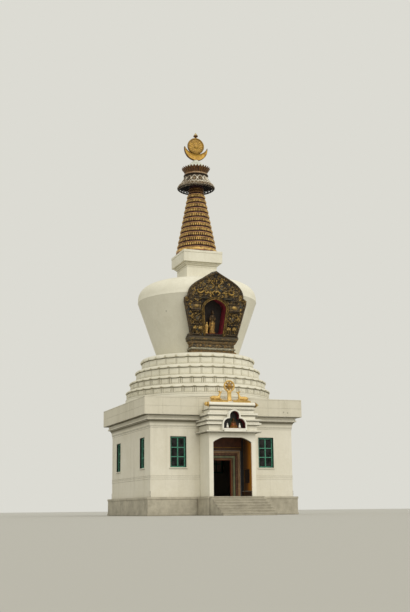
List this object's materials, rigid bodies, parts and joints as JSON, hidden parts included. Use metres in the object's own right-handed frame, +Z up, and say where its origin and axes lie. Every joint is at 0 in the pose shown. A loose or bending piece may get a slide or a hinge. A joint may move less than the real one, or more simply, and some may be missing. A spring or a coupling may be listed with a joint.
{
  "type": "stupa",
  "caption": "Whitewashed stupa: square hall with porch, round lotus tiers, flared dome with front shrine, square harmika, ringed spire, canopy and sun and moon finial.",
  "frame": {"origin": "on the axis of the spire, at ground level, on the underside of the plinth", "axes": "+Z up along the spire, -Y towards the porch side, +X to the right of someone facing +Y"},
  "size_m": [9.9, 13.65, 25.2546],
  "materials": {
    "paving": "worn cement paving",
    "wall_render": "smooth painted cement render, lightly stained",
    "parapet_render": "painted render with fine panel joints",
    "porch_limewash": "painted mouldings",
    "limewash": "matt limewash on plaster",
    "teal_paint": "teal gloss paint on wood",
    "window_glass": "clear pane with a dark room behind",
    "door_paint": "bands of red, orange, green and maroon paint",
    "gilt": "gilded, a little weathered",
    "spire_gilt": "gold and maroon ribbed rings",
    "shrine_bronze": "dark bronze relief with gilt highlights",
    "statue_bronze": "dark patinated bronze",
    "canopy_silver": "embossed grey bronze sheet",
    "crown_bronze": "brown fluted bronze"
  },
  "bodies": {
    "root": {"plinth": "paving", "entrance_steps": "paving", "front_wall_left": "wall_render", "front_wall_right": "wall_render", "front_wall_over_door": "wall_render", "left_wall": "wall_render", "right_wall": "wall_render", "back_wall": "wall_render", "window_front_1": "teal_paint", "window_front_2": "teal_paint", "window_right_1": "teal_paint", "window_right_2": "teal_paint", "window_back_1": "teal_paint", "window_back_2": "teal_paint", "window_left_1": "teal_paint", "window_left_2": "teal_paint", "glass_front_1": "window_glass", "glass_front_2": "window_glass", "glass_right": "window_glass", "glass_back": "window_glass", "glass_left": "window_glass", "door_frame": "door_paint", "cornice": "wall_render", "roof_slab": "wall_render", "parapet_front": "parapet_render", "parapet_back": "parapet_render", "parapet_left": "parapet_render", "parapet_right": "parapet_render", "porch_wall_left": "porch_limewash", "porch_wall_right": "porch_limewash", "porch_arch_head": "porch_limewash", "porch_entablature": "porch_limewash", "niche_surround": "porch_limewash", "niche_figures": "gilt", "pediment_bar": "porch_limewash", "dharma_wheel": "gilt", "deer_left": "gilt", "deer_right": "gilt", "lotus_drum": "limewash", "lotus_tier_1": "limewash", "lotus_tier_2": "limewash", "lotus_tier_3": "limewash", "lotus_tier_4": "limewash", "dome": "limewash", "shrine_pedestal": "shrine_bronze", "shrine_frame": "shrine_bronze", "shrine_statue": "statue_bronze", "shrine_attendant": "gilt", "harmika_neck": "limewash", "harmika_slab": "limewash", "spire_rings": "spire_gilt", "canopy_skirt": "canopy_silver", "canopy_crown": "crown_bronze", "finial_cone": "limewash", "moon_crescent": "gilt", "sun_disc": "gilt", "jewel": "gilt"}
  },
  "joints": []
}
